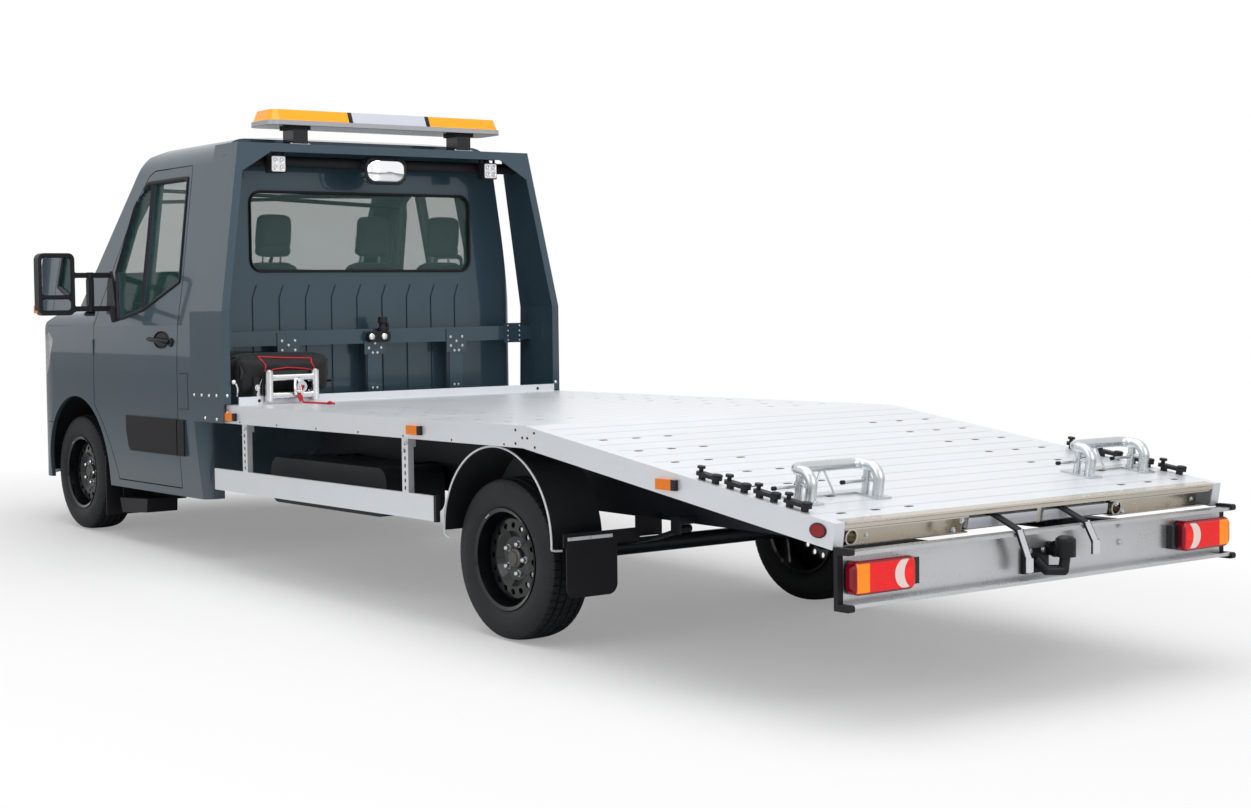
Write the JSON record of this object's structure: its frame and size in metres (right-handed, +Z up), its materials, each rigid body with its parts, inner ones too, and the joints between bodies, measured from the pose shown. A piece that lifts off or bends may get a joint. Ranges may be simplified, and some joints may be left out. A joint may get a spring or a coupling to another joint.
{
  "type": "flatbed tow truck",
  "caption": "Flatbed tow truck: cab with opening doors and hood, steered and rolling wheels, sloping aluminium bed with winch, slide-out ramps and light bar.",
  "frame": {"origin": "on the ground under the middle of the truck's length and width", "axes": "+Z up, -Y to the front of the truck, +X to its left-hand side"},
  "size_m": [2.92, 7.3399, 2.4075],
  "materials": {
    "grey_paint": "gloss blue-grey paint",
    "clear_glass": "lightly green tinted glass",
    "black_trim": "grained black plastic",
    "lamp_glass": "clear lamp cover",
    "seat_cloth": "dark woven cloth",
    "frame_black": "satin black paint",
    "cast_metal": "rough cast",
    "amber_lens": "clear amber lens",
    "mirror_face": "mirror glass",
    "bed_aluminium": "mill finish, slightly dulled",
    "black_rubber": "moulded rubber",
    "white_paint": "satin off-white paint",
    "red_lens": "moulded lens",
    "zinc_steel": "zinc plated",
    "cover_cloth": "coated cloth",
    "tyre_rubber": "road tyre rubber",
    "wheel_steel": "black painted steel",
    "strap_red": "woven red and white strap"
  },
  "bodies": {
    "chassis": {"cab_shell": "grey_paint", "cab_glass": "clear_glass", "cab_floor": "black_trim", "headlamps": "lamp_glass", "front_wings": "grey_paint", "front_bumper": "grey_paint", "grille": "black_trim", "cowl": "black_trim", "arch_liners": "black_trim", "seats": "seat_cloth", "dashboard": "black_trim", "steering_wheel": "black_trim", "front_subframe": "frame_black", "engine_block": "cast_metal", "chassis_rails": "frame_black", "rear_axle": "frame_black", "headboard": "grey_paint", "light_bar": "amber_lens", "work_lamps": "black_trim", "deck_mirror": "mirror_face", "deck": "bed_aluminium", "bed_rails": "bed_aluminium", "bed_frame": "frame_black", "side_guards": "bed_aluminium", "rear_fenders": "black_trim", "mud_flaps": "black_rubber", "side_markers": "amber_lens", "rear_beam": "white_paint", "rear_lamps": "red_lens", "beam_corners": "black_rubber", "tow_hitch": "black_trim", "ramp_channels": "zinc_steel", "wheel_stops": "zinc_steel", "lashing_cleats": "black_trim", "winch": "zinc_steel", "winch_cover": "cover_cloth", "winch_hook": "zinc_steel", "hook_strap": "strap_red", "fuel_tank": "black_trim", "front_frame": "frame_black"},
    "left_door": {"door_left": "grey_paint", "door_glass_left": "clear_glass", "mirror_left": "black_trim"},
    "right_door": {"door_right": "grey_paint", "door_glass_right": "clear_glass", "mirror_right": "black_trim"},
    "hood": {"bonnet": "grey_paint"},
    "left_knuckle": {"knuckle_left": "cast_metal"},
    "right_knuckle": {"knuckle_right": "cast_metal"},
    "front_left_wheel": {"tyre_front_left": "tyre_rubber", "rim_front_left": "wheel_steel"},
    "front_right_wheel": {"tyre_front_right": "tyre_rubber", "rim_front_right": "wheel_steel"},
    "rear_left_wheel": {"tyre_rear_left": "tyre_rubber", "rim_rear_left": "wheel_steel"},
    "rear_right_wheel": {"tyre_rear_right": "tyre_rubber", "rim_rear_right": "wheel_steel"},
    "left_ramp": {"ramp_left": "bed_aluminium"},
    "right_ramp": {"ramp_right": "bed_aluminium"}
  },
  "joints": [
    {"name": "left_door_hinge", "type": "hinge", "parent": "chassis", "child": "left_door", "pos_m": [1.035, -2.46624, 0.70822], "axis": [0, 0.0243, -0.9997], "range_deg": [0, 68]},
    {"name": "right_door_hinge", "type": "hinge", "parent": "chassis", "child": "right_door", "pos_m": [-1.035, -2.46624, 0.70822], "axis": [0, -0.0243, 0.9997], "range_deg": [0, 68]},
    {"name": "hood_hinge", "type": "hinge", "parent": "chassis", "child": "hood", "pos_m": [0, -2.78201, 1.39374], "axis": [-1, 0, 0], "range_deg": [0, 50]},
    {"name": "steering_left", "type": "hinge", "parent": "chassis", "child": "left_knuckle", "pos_m": [0.8, -2.79609, 0.20504], "axis": [-0.2334, -0.0237, 0.9721], "range_deg": [-35, 35]},
    {"name": "steering_right", "type": "hinge", "parent": "chassis", "child": "right_knuckle", "pos_m": [-0.8, -2.79609, 0.20504], "axis": [0.2334, -0.0237, 0.9721], "range_deg": [-35, 35]},
    {"name": "front_left_spin", "type": "hinge", "parent": "left_knuckle", "child": "front_left_wheel", "pos_m": [0.875, -2.7995, 0.345], "axis": [1, 0, 0], "continuous": true},
    {"name": "front_right_spin", "type": "hinge", "parent": "right_knuckle", "child": "front_right_wheel", "pos_m": [-0.875, -2.7995, 0.345], "axis": [1, 0, 0], "continuous": true},
    {"name": "rear_left_spin", "type": "hinge", "parent": "chassis", "child": "rear_left_wheel", "pos_m": [0.865, 1.5325, 0.345], "axis": [1, 0, 0], "continuous": true},
    {"name": "rear_right_spin", "type": "hinge", "parent": "chassis", "child": "rear_right_wheel", "pos_m": [-0.865, 1.5325, 0.345], "axis": [1, 0, 0], "continuous": true},
    {"name": "left_ramp_slide", "type": "slide", "parent": "chassis", "child": "left_ramp", "axis": [0, 0.9925, -0.1221], "range_m": [0, 1.55]},
    {"name": "right_ramp_slide", "type": "slide", "parent": "chassis", "child": "right_ramp", "axis": [0, 0.9925, -0.1221], "range_m": [0, 1.55]}
  ],
  "couplings": [
    {"joint": "steering_right", "follows": "steering_left", "ratio": 1}
  ]
}
